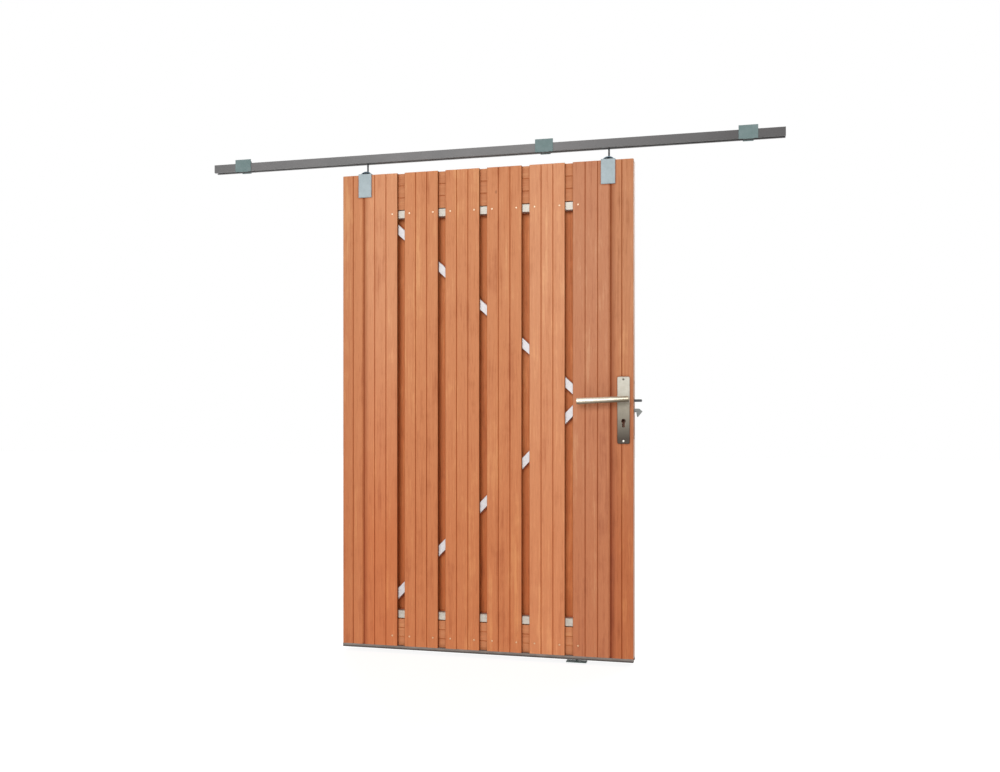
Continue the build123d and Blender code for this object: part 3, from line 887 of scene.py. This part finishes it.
    @staticmethod
    def place(name: str, head: Object, axis: Axis, towards: int, places: Iterable[Vector],
              material: Material) -> None:
        """Copies a head to its places and dresses the copies as one piece.

        Args:
            name: The piece's name.
            head: The head as it was made, which is deleted.
            axis: The direction it is laid along.
            towards: 1 for the positive direction, -1 for the negative.
            places: Where the copies go.
            material: Their material.
        """
        lay(head, axis, towards)
        settle(head, f"{name}_master")
        twins = []
        for place in places:
            twin = head.copy()
            twin.data = head.data.copy()
            bpy.context.scene.collection.objects.link(twin)
            twin.location = place
            twins.append(twin)
        mesh = head.data
        bpy.data.objects.remove(head)
        bpy.data.meshes.remove(mesh)
        dress(joined(name, twins), material)


@dataclass
class Leaf:
    """The leaf: boards, planks, steel frame, channel and the screws that hold them."""

    finishes: Finishes
    stile_tones: tuple[Plank, Plank] = (Plank.GOLDEN, Plank.RUSSET)
    board_tones: tuple[Plank, ...] = (
        Plank.HONEY, Plank.AMBER, Plank.AMBER, Plank.AMBER, Plank.HONEY, Plank.ROSE)
    joint_shade: str = "BE9976"
    joint_shade_width: float = 24.0 * MM
    edge_shade: str = "EAE4E0"
    edge_shade_width: float = 120.0 * MM
    # How the boards darken towards their foot, more deeply on the listed boards.
    deep_foot_boards: tuple[str, ...] = ("front_board_1", "front_stile_right")
    deep_foot: str = "ECCBAD"
    mild_foot: str = "F6E6D6"
    foot_high: float = -0.55
    foot_low: float = -1.6
    # Painted shade on the board sides that look into a gap: its tint, how deep it starts and the thin skin
    # where it is full.
    gap_side_shade: str = "B8A070"
    side_depth: float = 0.5 * MM
    side_skin: float = 0.4 * MM
    board_shift: float = 1.7
    plank_shifts: tuple[float, float] = (41.0, 44.1)
    # A lighter tint of painted shade for the planks' grooves.
    plank_crease_shade: str = "F2E6DA"
    screw_radius: float = 3.8 * MM
    screw_height: float = 1.6 * MM
    screw_edge: float = 21.0 * MM
    lower_screw_rise: float = 55.0 * MM
    back_count: int = 7

    def gap_shaded_sides(self, name: str) -> tuple[Fade, ...]:
        """Paints shade on the sides of a board that look into a gap.

        Args:
            name: The board.

        Returns:
            A fade for each such side, as thin as a skin.
        """
        low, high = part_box(name)
        leaf_low, leaf_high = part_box("bottom_channel")
        fades = []
        if low.x - leaf_low.x > self.side_depth:
            fades.append(Fade(Axis.X, low.x + self.side_depth, low.x + self.side_skin, self.gap_side_shade))
        if leaf_high.x - high.x > self.side_depth:
            fades.append(Fade(Axis.X, high.x - self.side_depth, high.x - self.side_skin, self.gap_side_shade))
        return tuple(fades)

    def boards(self) -> None:
        """Dresses every board in wood of its own tone and grain."""
        tones = {"front_stile_left": self.stile_tones[0], "front_stile_right": self.stile_tones[1]}
        for number, tone in enumerate(self.board_tones):
            tones[f"front_board_{number + 1}"] = tone
        # The back boards take the chestnut tone, partly painted light where the gaps show them.
        for number in range(self.back_count):
            tones[f"back_board_{number + 1}"] = Plank.CHESTNUT
        # Painted shade: the boards right of the two joints lie a little in the shade of their neighbours,
        # and the left stile darkens towards its open edge.
        joint = (self.joint_shade, self.joint_shade_width)
        shades = {"front_board_1": joint, "front_stile_right": joint,
                  "front_stile_left": (self.edge_shade, self.edge_shade_width)}
        for number, (name, tone) in enumerate(tones.items()):
            # Each board darkens towards its foot, more deeply on the listed boards.
            foot = self.deep_foot if name in self.deep_foot_boards else self.mild_foot
            fades = (Fade(Axis.Z, self.foot_high, self.foot_low, foot), *self.gap_shaded_sides(name))
            if name in shades:
                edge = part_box(name)[0].x
                tint, width = shades[name]
                fades += (Fade(Axis.X, edge + width, edge, tint),)
            wood = OiledHardwood(f"Oiled_bangkirai_{name}", fades, tone.value,
                                 shift=self.board_shift * number).build()
            repaint([name], wood)

    def planks(self) -> None:
        """Dresses the two level planks, whose grain runs along X."""
        for name, shift in zip(("top_plank", "bottom_plank"), self.plank_shifts):
            wood = OiledHardwood(f"Oiled_bangkirai_{name}", along=Axis.X, shift=shift,
                                 crease_shade_tint=self.plank_crease_shade).build()
            repaint([name], wood)

    def steel(self) -> None:
        """Dresses the frame tubes and the channel."""
        repaint([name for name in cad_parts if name.startswith("frame_")], self.finishes.frame_zinc)
        repaint([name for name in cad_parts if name.startswith("brace_")], self.finishes.brace_zinc)
        repaint(["bottom_channel"], self.finishes.channel)

    def screws(self) -> None:
        """Puts a screw beside each gap at the top tube and near the bottom, front and rear."""
        front_names = [f"front_board_{number + 1}" for number in range(len(self.board_tones))]
        back_names = [f"back_board_{number + 1}" for number in range(1, self.back_count - 1)]
        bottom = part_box("bottom_channel")[0].z
        levels = (middle_of("frame_top_tube").z, bottom + self.lower_screw_rise)
        for side, names, towards in (("front", front_names, -1), ("rear", back_names, 1)):
            places = []
            for number, name in enumerate(names):
                low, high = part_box(name)
                face = low.y if towards < 0 else high.y
                columns = [low.x + self.screw_edge, high.x - self.screw_edge]
                if side == "front" and number == 0:
                    columns = columns[1:]
                if side == "front" and number == len(names) - 1:
                    columns = columns[:1]
                places += [Vector((x, face, level)) for x in columns for level in levels]
            head = Fastener.pan_head(self.screw_radius, self.screw_height, self.screw_radius * 0.35)
            Fastener.place(f"board_screws_{side}", head, Axis.Y, towards, places, self.finishes.board_screw)

    def build(self) -> None:
        """Builds and dresses the leaf."""
        self.boards()
        self.planks()
        self.steel()
        self.screws()


@dataclass
class Track:
    """The rail, its brackets and stops, and the floor guide."""

    finishes: Finishes

    def build(self) -> None:
        """Dresses the track."""
        repaint(["rail"], self.finishes.rail)
        repaint(["bracket_left", "bracket_middle", "bracket_right"], self.finishes.bracket)
        repaint(["rail_stop_left", "rail_stop_right", "floor_guide_roller"], self.finishes.rubber)
        repaint(["floor_guide_base"], self.finishes.guide)


@dataclass
class Hangers:
    """The two hangers: angle plate, arched strap, threaded bolt with its nut, and trolley."""

    finishes: Finishes
    thread_depth: float = 0.7 * MM
    thread_pitch: float = 2.0 * MM
    nut_height: float = 6.5 * MM
    nut_edge: float = 0.8 * MM
    washer_thickness: float = 1.4 * MM
    washer_margin: float = 1.6 * MM
    bolt_radius: float = 4.0 * MM
    bore_gap: float = 0.3 * MM

    def bolt(self, side: str) -> None:
        """Builds one hanging bolt with its thread, nut and washer over the CAD one.

        Args:
            side: Which hanger, left or right.
        """
        name = f"hanger_bolt_{side}"
        low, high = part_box(name)
        middle = middle_of(name)
        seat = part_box(f"hanger_plate_{side}")[1].z
        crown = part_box(f"hanger_arch_{side}")[1].z
        corner = (high.x - low.x) / 2
        thread = Fastener.thread(self.bolt_radius, self.thread_depth, self.thread_pitch, high.z - low.z)
        thread.location = (middle.x, middle.y, low.z)
        nut = Fastener.hex_head(corner, self.nut_height, self.nut_edge)
        nut.location = (middle.x, middle.y, seat)
        washer = Fastener.washer(corner + self.washer_margin, self.bolt_radius + self.bore_gap,
                                 self.washer_thickness)
        washer.location = (middle.x, middle.y, crown - self.bore_gap)
        piece = joined(f"hanging_bolt_{side}", [thread, nut, washer])
        dress(piece, self.finishes.bolt)
        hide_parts(name)

    def build(self) -> None:
        """Dresses the hangers and builds their bolts."""
        sides = ("left", "right")
        repaint([f"hanger_plate_{side}" for side in sides], self.finishes.hanger)
        repaint([f"hanger_arch_{side}" for side in sides], self.finishes.saddle)
        repaint([f"trolley_{side}" for side in sides], self.finishes.bracket)
        for side in sides:
            self.bolt(side)


@dataclass
class Lock:
    """The lock: plates, levers, latch, hook, case, face plate and their screws."""

    finishes: Finishes
    plate_screw_inset: float = 10.5 * MM
    plate_screw_radius: float = 4.2 * MM
    plate_screw_height: float = 1.6 * MM
    slot_width: float = 1.1 * MM
    slot_depth: float = 0.9 * MM
    collar_radius: float = 12.5 * MM
    collar_hole: float = 9.3 * MM
    collar_height: float = 2.0 * MM
    edge_screw_inset: float = 9.0 * MM
    edge_screw_radius: float = 4.0 * MM
    edge_screw_height: float = 0.8 * MM

    def plate_screws(self) -> None:
        """Puts a slotted screw near the top and the bottom of each long plate."""
        for side, towards in (("front", -1), ("rear", 1)):
            low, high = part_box(f"backplate_{side}")
            face = low.y if towards < 0 else high.y
            x = (low.x + high.x) / 2
            levels = (high.z - self.plate_screw_inset, low.z + self.plate_screw_inset)
            head = Fastener.slotted_head(self.plate_screw_radius, self.plate_screw_height,
                                         self.slot_width, self.slot_depth)
            Fastener.place(f"plate_screws_{side}", head, Axis.Y, towards,
                           [Vector((x, face, level)) for level in levels], self.finishes.screw)

    def collars(self) -> None:
        """Puts a raised ring on each plate around the neck of its lever."""
        neck = middle_of("spindle")
        for side, towards in (("front", -1), ("rear", 1)):
            low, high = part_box(f"backplate_{side}")
            face = low.y if towards < 0 else high.y
            ring = Fastener.washer(self.collar_radius, self.collar_hole, self.collar_height)
            lay(ring, Axis.Y, towards)
            ring.location = (neck.x, face, neck.z)
            settle(ring, f"lever_collar_{side}")
            dress(ring, self.finishes.stainless)

    def edge_screws(self) -> None:
        """Puts two screws in the face plate on the leaf's edge."""
        low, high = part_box("lock_forend")
        levels = (high.z - self.edge_screw_inset, low.z + self.edge_screw_inset)
        head = Fastener.slotted_head(self.edge_screw_radius, self.edge_screw_height,
                                     self.slot_width, self.slot_depth * 0.6)
        Fastener.place("face_plate_screws", head, Axis.X, 1,
                       [Vector((high.x, 0, level)) for level in levels], self.finishes.screw)

    def build(self) -> None:
        """Dresses the lock and builds its small parts."""
        repaint(["backplate_front", "backplate_rear", "lock_forend"], self.finishes.stainless)
        repaint(["lever_front", "lever_rear"], self.finishes.lever)
        repaint(["spindle", "latch_bolt"], self.finishes.black)
        repaint(["hook_bolt"], self.finishes.hook)
        repaint(["lock_case"], self.finishes.case)
        self.plate_screws()
        self.collars()
        self.edge_screws()


@dataclass
class Studio:
    """The white floor and surround, two soft suns and the camera."""

    yaw_deg: float = 13.405
    focal_px: float = 954.957
    camera_right: float = 0.953757
    camera_back: float = 3.707927
    camera_below_middle: float = 0.033051
    horizon_drop_px: float = 33.256
    sensor_mm: float = 36.0
    floor_size: float = 40.0
    floor_glow: float = 0.8
    floor_bounce: float = 0.4
    world_strength: float = 0.27
    key_strength: float = 1.48
    key_softness_deg: float = 30.0
    key_rise_deg: float = 18.0
    fill_strength: float = 1.3
    fill_softness_deg: float = 60.0
    fill_rise_deg: float = 35.0

    @staticmethod
    def seen_directly(tree: NodeTree) -> NodeSocket:
        """A factor for what the camera sees, also in mirrors and through glass.

        Args:
            tree: The node tree to add to.

        Returns:
            A socket that is 1 for camera, glossy and transmission rays.
        """
        path = add_node(tree, "ShaderNodeLightPath")
        gloss = add_node(tree, "ShaderNodeMath", {
            0: path.outputs["Is Camera Ray"], 1: path.outputs["Is Glossy Ray"]}, operation="MAXIMUM")
        clear = add_node(tree, "ShaderNodeMath", {
            0: gloss.outputs[0], 1: path.outputs["Is Transmission Ray"]}, operation="MAXIMUM")
        return clear.outputs[0]

    def floor(self) -> None:
        """Lays the floor, which looks white apart from the object's faint shadow."""
        low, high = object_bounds()
        deselect()
        bpy.ops.mesh.primitive_plane_add(size=self.floor_size, location=(0, 0, low[2]))
        ground = settle(bpy.context.object, "studio_floor")
        # Matt white board: plain white to the eye, and a soft light on the gate from below.
        material = bpy.data.materials.new("White_floor")
        material.use_nodes = True
        tree = material.node_tree
        shader = tree.nodes["Principled BSDF"]
        shader.inputs["Base Color"].default_value = linear("F4F4F4")
        shader.inputs["Roughness"].default_value = 0.9
        matt = add_node(tree, "ShaderNodeBsdfDiffuse", {"Color": linear("BCBCBC")})
        glow = add_node(tree, "ShaderNodeEmission", {"Color": linear("FFFFFF"), "Strength": self.floor_glow})
        white = add_node(tree, "ShaderNodeAddShader", {0: matt.outputs["BSDF"], 1: glow.outputs["Emission"]})
        bounce = add_node(tree, "ShaderNodeEmission", {
            "Color": linear("FFFFFF"), "Strength": self.floor_bounce})
        lit = add_node(tree, "ShaderNodeAddShader", {
            0: shader.outputs["BSDF"], 1: bounce.outputs["Emission"]})
        mix = add_node(tree, "ShaderNodeMixShader", {
            0: self.seen_directly(tree), 1: lit.outputs["Shader"], 2: white.outputs["Shader"]})
        tree.links.new(mix.outputs["Shader"], tree.nodes["Material Output"].inputs["Surface"])
        ground.data.materials.append(material)
        ground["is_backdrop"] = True

    def world(self) -> None:
        """Sets an even white surround."""
        world = bpy.data.worlds.new("Studio_world")
        world.use_nodes = True
        bpy.context.scene.world = world
        tree = world.node_tree
        soft = tree.nodes["Background"]
        soft.inputs["Color"].default_value = linear("FFFFFF")
        soft.inputs["Strength"].default_value = self.world_strength
        white = add_node(tree, "ShaderNodeBackground", {"Color": linear("FFFFFF"), "Strength": 1.0})
        mix = add_node(tree, "ShaderNodeMixShader", {
            0: self.seen_directly(tree), 1: soft.outputs["Background"], 2: white.outputs["Background"]})
        tree.links.new(mix.outputs["Shader"], tree.nodes["World Output"].inputs["Surface"])

    def sun(self, name: str, strength: float, softness_deg: float, rise_deg: float, turn_deg: float) -> None:
        """Hangs one broad soft sun.

        Args:
            name: The lamp's name.
            strength: Its strength.
            softness_deg: How wide it appears, which softens its shadows.
            rise_deg: How high it stands above the horizon.
            turn_deg: 0 for in front of the gate and 180 for behind it.
        """
        light = bpy.data.lights.new(name, "SUN")
        light.energy = strength
        light.angle = math.radians(softness_deg)
        lamp = bpy.data.objects.new(name, light)
        lamp.rotation_euler = (math.radians(90 - rise_deg), 0, math.radians(turn_deg))
        bpy.context.scene.collection.objects.link(lamp)

    def lamps(self) -> None:
        """Lights the front, and the rear a little less."""
        self.sun("Key_sun", self.key_strength, self.key_softness_deg, self.key_rise_deg, 0)
        self.sun("Rear_sun", self.fill_strength, self.fill_softness_deg, self.fill_rise_deg, 180)

    def camera(self) -> None:
        """Sets the camera that matches the photograph."""
        leaf_low, leaf_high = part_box("front_stile_left")
        right_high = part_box("front_stile_right")[1]
        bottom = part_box("bottom_channel")[0].z
        middle = Vector(((leaf_low.x + right_high.x) / 2, leaf_low.y, (bottom + leaf_high.z) / 2))
        data = bpy.data.cameras.new("Photo_camera")
        data.sensor_width = self.sensor_mm
        data.lens = self.sensor_mm * self.focal_px / IMAGE_WIDTH
        data.shift_y = self.horizon_drop_px / IMAGE_WIDTH
        data.clip_end = 100
        camera = bpy.data.objects.new("Photo_camera", data)
        camera.location = middle + Vector((self.camera_right, -self.camera_back, -self.camera_below_middle))
        camera.rotation_euler = (math.pi / 2, 0, math.radians(self.yaw_deg))
        bpy.context.scene.collection.objects.link(camera)
        bpy.context.scene.camera = camera

    def build(self) -> None:
        """Builds the studio."""
        self.floor()
        self.world()
        self.lamps()
        self.camera()
        bpy.context.scene.view_settings.view_transform = "Standard"


def main() -> None:
    """Builds every sub-assembly, then the studio."""
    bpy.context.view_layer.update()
    finishes = Finishes()
    for assembly in (Leaf(finishes), Track(finishes), Hangers(finishes), Lock(finishes)):
        assembly.build()
        LOG.info("%s is built", type(assembly).__name__)
    Studio().build()
    deselect()


if __name__ == "__main__":
    main()
